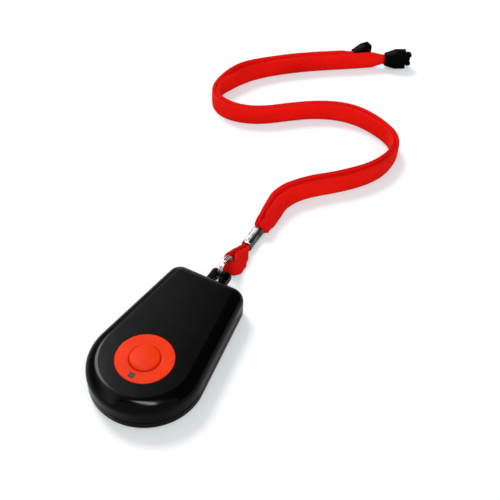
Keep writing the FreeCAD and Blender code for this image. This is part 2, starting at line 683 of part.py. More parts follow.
def strap_envelope():
    """A side view of how wide the strap is along Y, as a slab across the whole object."""
    ring_half, gather_half = STRAP_AT_RING / 2, STRAP_GATHER / 2
    crimp_z = CRIMP_HEIGHT / 2
    spread_z = (RING_RADIUS + crimp_z) / 2 + 1.0
    spread_half = LOOP_SPREAD_WIDTH / 2
    middle_z = STRAP_WIDTH / 2
    stations = [
        (OUTER_STRAND[0][1] - 2, RING_RADIUS, ring_half),
        (RING_Y + RING_RADIUS - RING_WIRE, RING_RADIUS, ring_half),
        (LOOP_SPREAD_Y, max(spread_z, spread_half + 0.2), spread_half),
        (CRIMP_START_Y, crimp_z, gather_half),
        (CRIMP_END_Y, crimp_z, gather_half),
        (GATHER_END_Y, middle_z, middle_z),
        (400, middle_z, middle_z),
    ]
    low = [Vector(-200, y, z - half) for y, z, half in stations]
    high = [Vector(-200, y, z + half) for y, z, half in reversed(stations)]
    return Part.Face(Part.makePolygon(low + high + low[:1])).extrude(Vector(400, 0, 0))


def clasp_frame(shape, place, heading):
    """Moves a clasp piece from its own frame, strap end at the origin and mouth along +X, to its place."""
    shape.rotate(Vector(0, 0, 0), Vector(0, 0, 1), heading)
    shape.translate(Vector(place[0], place[1], 0))
    return shape


def clasp_taper(place, heading):
    """The two wedges that narrow the strap towards a half of the clasp."""
    middle = CLASP_WIDTH / 2
    half = STRAP_AT_CLASP / 2
    reach = STRAP_THICKNESS / 2 + STRAND_GAP / 2
    wedges = []
    for side in (-1, 1):
        corners = [
            Vector(-STRAP_TAPER, -reach, middle + side * middle),
            Vector(1, -reach, middle + side * half),
            Vector(1, -reach, middle + side * STRAP_WIDTH),
            Vector(-STRAP_TAPER, -reach, middle + side * STRAP_WIDTH),
        ]
        wedge = Part.Face(Part.makePolygon(corners + corners[:1])).extrude(Vector(0, 2 * reach, 0))
        wedges.append(clasp_frame(wedge, place, heading))
    return wedges


def lanyard_strap():
    """The whole strap in one piece: two strands, the gathers at the crimp and the loop in the ring."""
    points = strap_course()
    bends = rounded_corners(points)
    half = STRAP_THICKNESS / 2
    left, left_end = strap_side(points, bends, half)
    right, right_end = strap_side(points, bends, -half)
    left_start, right_start = left[0].Vertexes[0].Point, right[0].Vertexes[0].Point
    caps = [Part.makeLine(left_end, right_end), Part.makeLine(right_start, left_start)]
    outline = Part.Wire(Part.__sortEdges__(left + right + caps))
    strap = Part.Face(outline).extrude(Vector(0, 0, STRAP_WIDTH))
    flat_volume = strap.Volume
    strap = strap.common(strap_envelope())
    strap = strap.cut(clasp_taper(SOCKET_PLACE, SOCKET_HEADING) + clasp_taper(PLUG_PLACE, PLUG_HEADING))
    length = sum((b["start"] - a["end"]).Length for a, b in zip(bends, bends[1:]))
    length += sum(b["radius"] * abs(b["turn"]) for b in bends)
    length += (bends[0]["start"] - points[0]).Length + (points[-1] - bends[-1]["end"]).Length
    print("strap length", round(length, 1), "radii", [round(b["radius"], 1) for b in bends])
    swept = length * STRAP_WIDTH * STRAP_THICKNESS
    print("strap volume", round(flat_volume, 1), "section times length", round(swept, 1))
    return strap


def lanyard_crimp():
    """The metal ferrule that is squeezed round both passes of the strap."""
    half_x, half_z = CRIMP_HALF_WIDTH, CRIMP_HEIGHT / 2
    sleeve = Part.makeBox(2 * half_x, CRIMP_LENGTH, CRIMP_HEIGHT, Vector(-half_x, CRIMP_START_Y, 0))
    sleeve = sleeve.makeFillet(CRIMP_SHEET, edges_along(sleeve, Vector(0, 1, 0)))
    inner_x, inner_z = half_x - CRIMP_SHEET, half_z - CRIMP_SHEET
    start_y = CRIMP_START_Y - 1
    bore = Part.makeBox(2 * inner_x, CRIMP_LENGTH + 2, 2 * inner_z, Vector(-inner_x, start_y, CRIMP_SHEET))
    seam_top = CRIMP_HEIGHT + 0.01
    corners = [Vector(-CRIMP_SEAM, start_y, seam_top), Vector(CRIMP_SEAM, start_y, seam_top)]
    corners.append(Vector(0, start_y, seam_top - CRIMP_SEAM))
    seam = Part.Face(Part.makePolygon(corners + corners[:1])).extrude(Vector(0, CRIMP_LENGTH + 2, 0))
    return sleeve.cut([bore, seam])


def clasp_section(x, width, thickness):
    """The clasp's section across its length: an upright rectangle with round corners."""
    low_z = (CLASP_WIDTH - width) / 2
    box = Part.makeBox(1, thickness, width, Vector(x, -thickness / 2, low_z))
    box = box.makeFillet(CLASP_ROUND, edges_along(box, Vector(1, 0, 0)))
    face = min(box.Faces, key=lambda f: f.CenterOfMass.x)
    return face.OuterWire


def clasp_body(length):
    """The outside that both halves share: it widens from the strap and then runs straight."""
    narrow = clasp_section(0, CLASP_END_WIDTH, CLASP_END_THICKNESS)
    wide = clasp_section(CLASP_TAPER, CLASP_WIDTH, CLASP_THICKNESS)
    mouth = clasp_section(length, CLASP_WIDTH, CLASP_THICKNESS)
    taper = Part.makeLoft([narrow, wide], True, True)
    return taper.fuse(Part.makeLoft([wide, mouth], True, True)).removeSplitter()


def clasp_socket():
    """The half with the pocket, and the windows that the prongs snap into."""
    body = clasp_body(SOCKET_LENGTH)
    width, thickness = CLASP_WIDTH - 2 * SOCKET_WALL, CLASP_THICKNESS - 2 * SOCKET_WALL
    pocket_x = SOCKET_LENGTH - SOCKET_DEPTH
    corner = Vector(pocket_x, -thickness / 2, SOCKET_WALL)
    pocket = Part.makeBox(SOCKET_DEPTH + 1, thickness, width, corner)
    corner = Vector(pocket_x + SOCKET_WALL, -thickness / 4, -1)
    windows = Part.makeBox(SOCKET_WINDOW, thickness / 2, CLASP_WIDTH + 2, corner)
    return clasp_frame(body.cut([pocket, windows]), SOCKET_PLACE, SOCKET_HEADING)


def clasp_plug():
    """The half with two barbed prongs and a tongue between them."""
    body = clasp_body(PLUG_BODY_LENGTH)
    middle = CLASP_WIDTH / 2
    reach = middle - SOCKET_WALL - CLASP_FIT
    thickness = CLASP_THICKNESS - 2 * SOCKET_WALL - 2 * CLASP_FIT
    start = PLUG_BODY_LENGTH - 0.5
    tip = PLUG_BODY_LENGTH + PRONG_LENGTH
    parts = []
    for side in (-1, 1):
        corners = [
            Vector(start, -thickness / 2, middle + side * (reach - PRONG_WIDTH)),
            Vector(tip, -thickness / 2, middle + side * (reach - PRONG_WIDTH)),
            Vector(tip, -thickness / 2, middle + side * (reach - PRONG_BARB)),
            Vector(tip - PRONG_WIDTH, -thickness / 2, middle + side * reach),
            Vector(tip - PRONG_WIDTH, -thickness / 2, middle + side * (reach - PRONG_BARB)),
            Vector(start, -thickness / 2, middle + side * (reach - PRONG_BARB)),
        ]
        parts.append(Part.Face(Part.makePolygon(corners + corners[:1])).extrude(Vector(0, thickness, 0)))
    tongue_size = Vector(start, -thickness / 2, middle - TONGUE_WIDTH / 2)
    parts.append(Part.makeBox(TONGUE_LENGTH + 0.5, thickness, TONGUE_WIDTH, tongue_size))
    return clasp_frame(body.fuse(parts).removeSplitter(), PLUG_PLACE, PLUG_HEADING)


PIECES = {
    "front_cover": front_cover,
    "rear_cover": rear_cover,
    "case_seal": case_seal,
    "case_screws": case_screws,
    "button_disc": button_disc,
    "call_button": call_button,
    "led_window": led_window,
    "circuit_board": circuit_board,
    "switch_body": switch_body,
    "switch_plunger": switch_plunger,
    "indicator_led": indicator_led,
    "controller_chip": lambda: chip(CONTROLLER_SIZE, 0, CONTROLLER_Y),
    "radio_chip": lambda: chip(RADIO_SIZE, RADIO_PLACE[0], RADIO_PLACE[1]),
    "crystal": crystal,
    "chip_capacitors": chip_capacitors,
    "aerial": aerial,
    "coin_cell": coin_cell,
    "battery_clip_positive": positive_clip,
    "battery_contact_negative": negative_contact,
    "split_ring": split_ring,
    "lanyard_strap": lanyard_strap,
    "lanyard_crimp": lanyard_crimp,
    "clasp_socket": clasp_socket,
    "clasp_plug": clasp_plug,
}

os.makedirs("parts", exist_ok=True)
for name, make in PIECES.items():
    piece = make()
    piece.exportStep(f"parts/{name}.step")
    solids = piece.Solids
    box = piece.BoundBox
    size = f"{box.XLength:.1f} x {box.YLength:.1f} x {box.ZLength:.1f}"
    print(f"{name}: {len(solids)} solid(s), {piece.Volume:.1f} mm3, {size}, valid {piece.isValid()}")
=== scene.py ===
# %% [markdown]
# A nurse call pendant is a small radio transmitter that a patient wears round the neck. This lesson
# dresses its engineering model: the black case, the red button, the steel ring and crimp, and the
# red tape with its safety clasp. The engineering model arrives as a fixed frame. Parts whose shape
# is already right keep their mesh and only get a better finish. Soft or bent parts are built anew.

# %% The frame
import math

import bmesh
import bpy
from mathutils import Matrix, Vector


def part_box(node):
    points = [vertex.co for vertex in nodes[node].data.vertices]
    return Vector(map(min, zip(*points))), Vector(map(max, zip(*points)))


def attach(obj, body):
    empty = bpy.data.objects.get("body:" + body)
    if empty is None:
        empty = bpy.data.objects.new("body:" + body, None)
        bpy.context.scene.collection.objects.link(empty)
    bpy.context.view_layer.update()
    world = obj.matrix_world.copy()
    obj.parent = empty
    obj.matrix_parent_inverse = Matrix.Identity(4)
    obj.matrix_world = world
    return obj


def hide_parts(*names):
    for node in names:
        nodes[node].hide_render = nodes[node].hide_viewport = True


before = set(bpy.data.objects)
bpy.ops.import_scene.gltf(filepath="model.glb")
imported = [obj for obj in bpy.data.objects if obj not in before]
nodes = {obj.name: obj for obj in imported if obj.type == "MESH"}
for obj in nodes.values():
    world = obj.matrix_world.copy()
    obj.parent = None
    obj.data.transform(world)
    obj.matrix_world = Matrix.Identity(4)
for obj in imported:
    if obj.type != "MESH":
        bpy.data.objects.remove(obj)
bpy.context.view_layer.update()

# %% [markdown]
# The camera comes first, because every shape is judged through it. Its place and direction were
# found by fitting the case's outline, the button and the ring to the photograph. A lens of 58.7 mm
# on a 36 mm sensor gives the slight narrowing towards the far end of the tape. Blender wants the
# place and the three directions as the columns of one matrix, which a small helper puts together.

# %% The camera
MM = 0.001
LENS, SENSOR = 58.68, 36.0  # in millimetres, as Blender takes them
CAMERA_PLACE = (116.80, -150.28, 269.50)  # in millimetres
CAMERA_AHEAD = (-0.30766, 0.62243, -0.71967)
CAMERA_UP = (-0.35910, 0.62447, 0.69361)


def in_scene(name, data):
    """A new object in the scene, made from a mesh, a curve, a lamp or a camera."""
    thing = bpy.data.objects.new(name, data)
    bpy.context.scene.collection.objects.link(thing)
    return thing


def placing(*columns):
    """The matrix whose first three columns are directions and whose last one is a place."""
    rows = [[column[row] for column in columns] for row in range(3)]
    return Matrix([*rows, (0, 0, 0, 1)])


camera = in_scene("camera", bpy.data.cameras.new("camera"))
camera.data.lens = LENS
camera.data.sensor_width = SENSOR
camera.data.clip_start = 10 * MM
forward = Vector(CAMERA_AHEAD).normalized()
right = forward.cross(Vector(CAMERA_UP)).normalized()
place = [value * MM for value in CAMERA_PLACE]
camera.matrix_world = placing(right, right.cross(forward), -forward, place)
bpy.context.scene.camera = camera
bpy.context.scene.view_settings.view_transform = "Standard"
print("camera looks along", tuple(round(c, 3) for c in forward))

# %% [markdown]
# A procedural finish is a small graph of nodes that works out a colour, a roughness and a bump for
# every point of a surface. All finishes here start from the same helpers: a Principled shader whose
# plain values sit on its own sockets, and textures that read the surface's own coordinates.

# %% Helpers for finishes
def set_values(node, values):
    """Writes plain values to a node's inputs. An underscore in a name stands for a space."""
    for key, value in values.items():
        node.inputs[key.replace("_", " ")].default_value = value


def finish(name, **values):
    """A new material with its plain values set on the Principled shader."""
    material = bpy.data.materials.new(name)
    material.use_nodes = True
    shader = material.node_tree.nodes["Principled BSDF"]
    set_values(shader, values)
    return material, material.node_tree, shader


def coordinates(tree, kind="Object"):
    """The coordinates that a pattern follows: the frame's own, or the piece's UV map."""
    return tree.nodes.new("ShaderNodeTexCoord").outputs[kind]


def texture(tree, kind, source, **values):
    """A texture or a mapping over the given coordinates, with its plain values."""
    node = tree.nodes.new("ShaderNode" + kind)
    set_values(node, values)
    tree.links.new(source, node.inputs["Vector"])
    return node.outputs


def noise(tree, source, scale, detail, stretch=None):
    """A noise over the given coordinates, stretched along them if asked."""
    if stretch:
        source = texture(tree, "Mapping", source, Scale=stretch)["Vector"]
    return texture(tree, "TexNoise", source, Scale=scale, Detail=detail, Roughness=0.55)["Fac"]


print("helpers for textures ready")

# %% [markdown]
# A texture only gives a number between 0 and 1 at each point. Three more helpers turn it into what
# the shader needs: a number in another range, a colour between two colours, or a tilt of the
# surface.

# %% From a texture to the shader
def spread(tree, value, low, high, start=0.3, stop=0.7):
    """Spreads the values between start and stop over another range."""
    node = tree.nodes.new("ShaderNodeMapRange")
    set_values(node, {"From Min": start, "From Max": stop, "To Min": low, "To Max": high})
    tree.links.new(value, node.inputs["Value"])
    return node.outputs["Result"]


def blend_colors(tree, value, first, second, start=0.35, stop=0.65):
    """A colour that goes from the first to the second as the value rises."""
    ramp = tree.nodes.new("ShaderNodeValToRGB")
    for element, position, color in zip(ramp.color_ramp.elements, (start, stop), (first, second)):
        element.position = position
        element.color = (*color, 1)
    tree.links.new(value, ramp.inputs["Fac"])
    return ramp.outputs["Color"]


def bump(tree, shader, height, strength, depth):
    """Lets a texture lift the surface by up to depth, in millimetres."""
    node = tree.nodes.new("ShaderNodeBump")
    set_values(node, {"Strength": strength, "Distance": depth * MM})
    tree.links.new(height, node.inputs["Height"])
    tree.links.new(node.outputs["Normal"], shader.inputs["Normal"])


print("helpers for colour, roughness and bump ready")

# %% [markdown]
# Most parts are moulded plastic or small stampings, and their finishes differ only in numbers. So
# one function makes them all: a first noise varies the colour, a second one the roughness, and a
# third, much finer one is the grain of the surface. Another function puts a finish on parts of the
# frame, whose meshes stay as they are.

# %% A finish from three noises
def grained(name, tone, gloss, grain, **values):
    """A finish that three noises vary, each given by its scale and its detail first.

    Tone goes on with the dark and the light colour, gloss with the lowest and the highest
    roughness, and grain with the strength and the depth of its bump.
    """
    material, tree, shader = finish(name, **values)
    place = coordinates(tree)
    color = blend_colors(tree, noise(tree, place, *tone[:2]), *tone[2:])
    roughness = spread(tree, noise(tree, place, *gloss[:2]), *gloss[2:])
    tree.links.new(color, shader.inputs["Base Color"])
    tree.links.new(roughness, shader.inputs["Roughness"])
    bump(tree, shader, noise(tree, place, *grain[:2]), *grain[2:])
    return material


def repaint(material, *names):
    """Gives parts of the frame another finish, without touching their meshes."""
    for name in names:
        materials = nodes[name].data.materials
        materials.clear()
        materials.append(material)
    print(material.name, "on", " and ".join(names))


print("finishes can be made")

# %% [markdown]
# The case is moulded in glossy black plastic. Real gloss is never perfect: the mould leaves a very
# fine texture, and hands leave faint smears that only show in the reflections. So the colour stays
# almost even, and two noises vary the roughness and the bump.

# %% Black housing
housing = grained(
    "glossy_black_housing",
    tone=(70, 3, (0.0009, 0.0009, 0.0010), (0.0016, 0.0016, 0.0017)),
    gloss=(220, 5, 0.12, 0.16),
    grain=(2600, 2, 0.08, 0.03),
    Specular_IOR_Level=0.06,
)
repaint(housing, "front_cover", "rear_cover")

# %% [markdown]
# The disc and the button share an orange-red plastic. It lets a little light in, which softens its
# shading, so it gets a small subsurface weight. It is rougher than the case, so that it looks satin
# and mirrors next to nothing.

# %% Red plastic
red_plastic = grained(
    "orange_red_plastic",
    tone=(90, 4, (0.72, 0.031, 0.0033), (0.79, 0.038, 0.0055)),
    gloss=(260, 4, 0.3, 0.42),
    grain=(3200, 2, 0.15, 0.04),
    Specular_IOR_Level=0.04,
    Subsurface_Weight=0.08,
    Subsurface_Scale=1 * MM,
)
repaint(red_plastic, "button_disc", "call_button")

# %% [markdown]
# The light window is a smoked plastic guide. With the lamp off it looks dark, with a trace of green
# and a fine grain at its mouth where the guide was cut and left unpolished.

# %% Smoked window
smoked = grained(
    "smoked_window",
    tone=(1400, 4, (0.018, 0.020, 0.013), (0.042, 0.038, 0.023)),
    gloss=(900, 3, 0.2, 0.4),
    grain=(4000, 2, 0.2, 0.03),
    Specular_IOR_Level=0.12,
)
repaint(smoked, "led_window")

# %% [markdown]
# The two halves of the safety clasp are moulded in a plainer black plastic than the case, a little
# rougher, with the fine sparkle of an eroded mould.

# %% Black clasp plastic
clasp_black = grained(
    "black_clasp_plastic",
    tone=(200, 3, (0.0011, 0.0011, 0.0012), (0.0022, 0.0022, 0.0023)),
    gloss=(500, 4, 0.35, 0.5),
    grain=(2400, 3, 0.25, 0.05),
    Specular_IOR_Level=0.02,
)
repaint(clasp_black, "clasp_socket", "clasp_plug")

# %% [markdown]
# Inside the case everything gets a finish of its own as well, for whoever opens the model: moulded
# chips, plated cans and contacts, and the rubber seal. A table gives each one its two close
# colours, its range of roughness and whether it is metal.

# %% Parts inside the case
CHIP_BLACK = (0.018, 0.018, 0.019), (0.028, 0.028, 0.029)
CONTACT_NICKEL = (0.62, 0.61, 0.57), (0.72, 0.71, 0.67)
inside = {
    "case_seal": ("seal_rubber", (0.02, 0.02, 0.02), (0.035, 0.035, 0.035), 0.7, 0.85, 0.0),
    "case_screws": ("zinc_plate", (0.5, 0.5, 0.51), (0.62, 0.62, 0.63), 0.25, 0.4, 1.0),
    "switch_body": ("switch_moulding", (0.02, 0.02, 0.02), (0.03, 0.03, 0.03), 0.5, 0.6, 0.0),
    "switch_plunger": ("plunger_moulding", (0.05, 0.05, 0.05), (0.07, 0.07, 0.07), 0.4, 0.5, 0.0),
    "indicator_led": ("lamp_lens", (0.8, 0.78, 0.6), (0.9, 0.88, 0.72), 0.2, 0.35, 0.0),
    "controller_chip": ("controller_moulding", *CHIP_BLACK, 0.55, 0.7, 0.0),
    "radio_chip": ("radio_moulding", *CHIP_BLACK, 0.55, 0.7, 0.0),
    "crystal": ("crystal_can", (0.66, 0.66, 0.65), (0.76, 0.76, 0.75), 0.25, 0.4, 1.0),
    "chip_capacitors": ("capacitor_ceramic", (0.4, 0.28, 0.16), (0.5, 0.37, 0.22), 0.5, 0.65, 0.0),
    "aerial": ("tinned_wire", (0.62, 0.61, 0.58), (0.74, 0.73, 0.7), 0.2, 0.35, 1.0),
    "coin_cell": ("cell_steel", (0.6, 0.6, 0.6), (0.72, 0.72, 0.72), 0.28, 0.42, 1.0),
    "battery_clip_positive": ("clip_nickel", *CONTACT_NICKEL, 0.25, 0.38, 1.0),
    "battery_contact_negative": ("contact_nickel", *CONTACT_NICKEL, 0.25, 0.38, 1.0),
}
for part, (name, dark, light, smooth, rough, metal) in inside.items():
    tone, gloss, grain = (400, 3, dark, light), (800, 4, smooth, rough), (1600, 3, 0.2, 0.03)
    repaint(grained(name, tone, gloss, grain, Metallic=metal), part)

# %% [markdown]
# A circuit board is green from its solder mask, under which the copper tracks show a little
# lighter. A brick texture is enough for that pattern: its bricks are the gaps, its mortar is the
# tracks, and the same pattern lifts the tracks by a hair.

# %% Circuit board
board, tree, shader = finish("green_solder_mask", Roughness=0.35)
tracks = texture(
    tree,
    "TexBrick",
    coordinates(tree),
    Scale=260,
    Mortar_Size=0.06,
    Color1=(0.012, 0.11, 0.04, 1),
    Color2=(0.014, 0.13, 0.045, 1),
    Mortar=(0.03, 0.24, 0.09, 1),
)
tree.links.new(tracks["Color"], shader.inputs["Base Color"])
bump(tree, shader, tracks["Fac"], 0.3, 0.03)
repaint(board, "circuit_board")

# %% [markdown]
# The tape is a flat tube of woven polyester, 10 mm wide. Its finish follows the tape's own UV map,
# which runs along and round it in metres, so the weave turns with every bend. Two sets of slanting
# ribs cross each other like a braid, and at every point the higher of the two is what one sees.

# %% The tape's weave
RIB_SLANT = 0.62  # radians, to either side


def feed(tree, value, socket):
    """Links another node's result to a socket, or writes a plain number there."""
    if isinstance(value, bpy.types.NodeSocket):
        tree.links.new(value, socket)
    else:
        socket.default_value = value


def arithmetic(tree, operation, value, other=0.0):
    """One step of arithmetic on a value, with a number or with another value."""
    node = tree.nodes.new("ShaderNodeMath")
    node.operation = operation
    feed(tree, value, node.inputs[0])
    feed(tree, other, node.inputs[1])
    return node.outputs[0]


def ribs(tree, source, slant):
    """Fine ribs that slant by the given angle, in radians."""
    turned = texture(tree, "Mapping", source, Rotation=(0, 0, slant))["Vector"]
    return texture(tree, "TexWave", turned, Scale=420, Distortion=0.6, Detail=1.0)["Fac"]


woven, tree, shader = finish(
    "woven_red_tape",
    Roughness=0.8,
    Specular_IOR_Level=0.06,
    Sheen_Weight=0.04,
    Sheen_Roughness=0.4,
    Sheen_Tint=(1.0, 0.25, 0.2, 1),
)
weave_map = coordinates(tree, "UV")
slanting = [ribs(tree, weave_map, slant) for slant in (RIB_SLANT, -RIB_SLANT)]
braid = arithmetic(tree, "MAXIMUM", *slanting)
bump(tree, shader, braid, 0.35, 0.12)
print("weave ready")

# %% [markdown]
# A slow noise along the tape varies the red, as dye does. Painted shade makes the gaps of the weave
# deeper in colour than its ribs. More painted shade darkens both round borders, and most of all the
# lower one, where a painted contact shadow runs along the table, and a little painted shade darkens
# the tape near the ring. Each of these multiplies the dye by a tint from a colour ramp.

# %% The tape's dye and painted shade
TAPE_ROUND = 22 * MM
# the first colour is no tint, and the other three are tints of painted shade: near the ring, along
# the borders and in the weave's gaps
UNSHADED, PAINTED_LOOP_SHADE = (1, 1, 1), (0.9, 0.9, 0.9)
PAINTED_BORDER_SHADE, PAINTED_GAP_SHADE = (0.5, 0.4, 0.4), (0.55, 0.5, 0.5)
ROUND_TO_RAMP, ALONG_TO_RAMP = 180.0, 40.0  # a ramp ends at 1: here 5.5 mm round, or 25 mm along


def tinted(tree, color, value, first, second, start, stop, amount=1.0):
    """Multiplies a colour by a tint that goes from the first to the second as the value rises."""
    mix = tree.nodes.new("ShaderNodeMix")
    mix.data_type = "RGBA"
    mix.blend_type = "MULTIPLY"
    mix.inputs["Factor"].default_value = amount
    tree.links.new(color, mix.inputs["A"])
    tree.links.new(blend_colors(tree, value, first, second, start, stop), mix.inputs["B"])
    return mix.outputs["Result"]


def split(tree, vector):
    """A vector's three values, each found by its letter."""
    node = tree.nodes.new("ShaderNodeSeparateXYZ")
    tree.links.new(vector, node.inputs["Vector"])
    return node.outputs


slow = noise(tree, weave_map, 60, 4, stretch=(0.35, 1, 1))
dye_and_painted_shade = blend_colors(tree, slow, (0.80, 0.0028, 0.0011), (1.0, 0.0085, 0.0024))
# painted shade: the gaps of the weave are darker than its ribs
dye_and_painted_shade = tinted(tree, dye_and_painted_shade, braid, PAINTED_GAP_SHADE, UNSHADED, 0.2, 0.9, amount=0.35)
on_tape = split(tree, weave_map)
from_bottom = arithmetic(tree, "PINGPONG", on_tape["Y"], TAPE_ROUND / 2)
from_middle = arithmetic(tree, "SUBTRACT", from_bottom, TAPE_ROUND / 4)
from_middle = arithmetic(tree, "ABSOLUTE", from_middle)
for distance, scale, first, second, start, stop in (
    # painted shade along both round borders
    (from_middle, ROUND_TO_RAMP, UNSHADED, PAINTED_BORDER_SHADE, 0.8, 0.97),
    # painted contact shadow along the lower border, where the tape meets the table
    (from_bottom, ROUND_TO_RAMP, PAINTED_BORDER_SHADE, UNSHADED, 0.15, 0.5),
    # painted shade near the ring
    (on_tape["X"], ALONG_TO_RAMP, PAINTED_LOOP_SHADE, UNSHADED, 0.5, 0.8),
):
    scaled = arithmetic(tree, "MULTIPLY", distance, scale)
    dye_and_painted_shade = tinted(tree, dye_and_painted_shade, scaled, first, second, start, stop)
tree.links.new(dye_and_painted_shade, shader.inputs["Base Color"])
print("tape dyed, with painted shade")

# %% [markdown]
# Bright metal needs something to reflect and a surface that isn't a perfect mirror. The ring and
# the crimp are plated steel that has dulled a little. Its finish varies from light to dark grey in
# small patches, and fine scratches run along it. The crimp's plate has lost more of its shine, and
# painted shade darkens it towards its right side, at +X.

# %% Plated steel
UNSHADED_PLATE = (1, 1, 1)
PAINTED_SHADE_FROM, PAINTED_SHADE_TO = -1.0 * MM, 1.8 * MM


def plating(name, dark, light, smooth, rough, painted_shade=None):
    """Dulled plate that varies from dark to light in short streaks along Y.

    The last argument is the tint of painted shade that it takes on towards +X.
    """
    material, tree, shader = finish(name, Metallic=1.0)
    place = coordinates(tree)
    color = blend_colors(tree, noise(tree, place, 900, 4, stretch=(1, 0.3, 1)), dark, light)
    # painted shade: a tint that darkens the plate towards +X
    if painted_shade:
        side = spread(tree, split(tree, place)["X"], 0.0, 1.0, PAINTED_SHADE_FROM, PAINTED_SHADE_TO)
        color = tinted(tree, color, side, UNSHADED_PLATE, painted_shade, 0.2, 0.7)
    roughness = spread(tree, noise(tree, place, 700, 4), smooth, rough)
    tree.links.new(color, shader.inputs["Base Color"])
    tree.links.new(roughness, shader.inputs["Roughness"])
    bump(tree, shader, noise(tree, place, 1500, 3, stretch=(1, 0.2, 1)), 0.12, 0.04)
    return material


plated = plating(
    "dulled_nickel_plate",
    dark=(0.3, 0.31, 0.28),
    light=(0.8, 0.8, 0.76),
    smooth=0.12,
    rough=0.26,
)
crimp_plate = plating(
    "nickel_plate_with_painted_shade",
    dark=(0.16, 0.17, 0.16),
    light=(0.97, 0.97, 0.97),
    smooth=0.3,
    rough=0.42,
    # painted shade on the crimp's right side
    painted_shade=(0.2, 0.23, 0.22),
)
print("plated steel ready")

# %% [markdown]
# New pieces are modelled as a bmesh, which is Blender's editable mesh without the editor. They grow
# from a rim that is swept on, step by step. An operator hands back all that it made, and the next
# step needs only the edges or the points. A finished bmesh becomes an object with one finish.
# Operators may make their points and faces in another order each time, so these are put in order
# along one slanting direction first, and every run of the script gives the same mesh.

# %% Helpers for new pieces
SORTING_DIRECTION = Vector((0.31, 1.0, 0.17))


def turn_about_x(bm, degrees, middle=(0, 0, 0)):
    """Turns all of a bmesh about X."""
    about_x = Matrix.Rotation(math.radians(degrees), 3, "X")
    bmesh.ops.rotate(bm, verts=bm.verts, cent=middle, matrix=about_x)


def only(kind, geometry):
    """The edges or the points among what an operator made."""
    return [part for part in geometry if isinstance(part, kind)]


def piece_from(bm, name, material):
    """Turns a finished bmesh into an object at the origin, with one finish and smooth shading."""
    for face in bm.faces:
        face.smooth = True
    bm.verts.sort(key=lambda vertex: vertex.co.dot(SORTING_DIRECTION))
    bm.faces.sort(key=lambda face: face.calc_center_median().dot(SORTING_DIRECTION))
    mesh = bpy.data.meshes.new(name)
    bm.to_mesh(mesh)
    bm.free()
    mesh.materials.append(material)
    return in_scene(name, mesh)


print("helpers for new pieces ready")

# %% [markdown]
# A split ring is one steel wire wound nearly twice round, with a short step where it passes from
# the first turn to the second. Two plain rings side by side wouldn't show that step. So a section
# of the wire is spun about the ring's middle in three goes: the first turn, the step, which also
# moves sideways, and the second turn. The step is at the bottom.

# %% Split ring
WIRE_WIDTH, WIRE_HEIGHT, WIRE_SIDES = 0.90 * MM, 1.08 * MM, 12
RING_MARGIN = 0.01 * MM
WIRE_START, COIL_SWEEP, STEP_SWEEP, SPIN_STEP = 210, 300, 60, 5  # degrees
low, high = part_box("split_ring")
ring_middle = Vector((0, (low[1] + high[1]) / 2, (low[2] + high[2]) / 2))
wire_radius = (high[2] - low[2] - WIRE_HEIGHT) / 2 - RING_MARGIN
side_step = (high[0] - low[0] - WIRE_WIDTH) / 2 - RING_MARGIN
bm = bmesh.new()
bmesh.ops.create_circle(bm, segments=WIRE_SIDES, radius=0.5)
bmesh.ops.transform(bm, matrix=Matrix.Diagonal((WIRE_WIDTH, WIRE_HEIGHT, 1, 1)), verts=bm.verts)
turn_about_x(bm, 90)
bmesh.ops.translate(bm, verts=bm.verts, vec=ring_middle + Vector((-side_step, 0, wire_radius)))
turn_about_x(bm, WIRE_START, ring_middle)
first_rim = list(bm.edges)
rim = list(bm.verts) + first_rim
for sweep, slide in ((COIL_SWEEP, 0.0), (STEP_SWEEP, side_step * 2), (COIL_SWEEP, 0.0)):
    steps = sweep // SPIN_STEP
    rim = bmesh.ops.spin(
        bm,
        geom=rim,
        cent=ring_middle,
        axis=(1, 0, 0),
        dvec=(slide / steps, 0, 0),
        angle=math.radians(sweep),
        steps=steps,
    )["geom_last"]
for end in (first_rim, only(bmesh.types.BMEdge, rim)):
    bmesh.ops.contextual_create(bm, geom=end)
bmesh.ops.recalc_face_normals(bm, faces=bm.faces)
ring_coil = piece_from(bm, "ring_coil", plated)
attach(ring_coil, "ring")
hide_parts("split_ring")
print("ring coil faces:", len(ring_coil.data.polygons))

# %% [markdown]
# The crimp is a short steel tube that pliers squeezed round both passes of the tape. Squeezing
# leaves lengthwise furrows, a waist in the middle and slightly flared ends. Its rim starts as a
# circle that is pushed to a square with round corners, and then pressed in at each furrow, a little
# unevenly.

# %% The crimp's rim
CRIMP_SIDES, CRIMP_STEPS, CRIMP_WALL = 72, 16, 0.25 * MM
SQUARENESS, FURROWS, FURROW_DEPTH = 3, 11, 0.035
WAIST, RIPPLES, RIPPLE_DEPTH = 0.05, 7, 0.02
low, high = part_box("lanyard_crimp")
crimp_length = high[1] - low[1]
crimp_middle = Vector(((low[0] + high[0]) / 2, 0, (low[2] + high[2]) / 2))
crimp_half = Vector(((high[0] - low[0]) / 2, 0, (high[2] - low[2]) / 2))
bm = bmesh.new()
bmesh.ops.create_circle(bm, segments=CRIMP_SIDES, radius=1.0)
turn_about_x(bm, 90)
for vertex in bm.verts:
    angle = math.atan2(vertex.co.z, vertex.co.x)
    x, z = math.cos(angle), math.sin(angle)
    corner = (abs(x) ** SQUARENESS + abs(z) ** SQUARENESS) ** (-1 / SQUARENESS)
    uneven = 0.6 + 0.4 * math.sin(3 * angle)
    furrow = 1 - FURROW_DEPTH * (1 + math.cos(FURROWS * angle)) * uneven
    vertex.co = Vector((x * crimp_half.x, 0, z * crimp_half.z)) * corner * furrow
bmesh.ops.translate(bm, verts=bm.verts, vec=crimp_middle + Vector((0, low[1], 0)))
print("points round the crimp:", len(bm.verts))

# %% [markdown]
# The rim is extruded along the crimp in short steps. Every point is then drawn towards the crimp's
# middle line, most of all halfway along, with small ripples where the pliers' jaws bit. The normals
# are recalculated before the wall gets its thickness, so that the wall grows the right way.

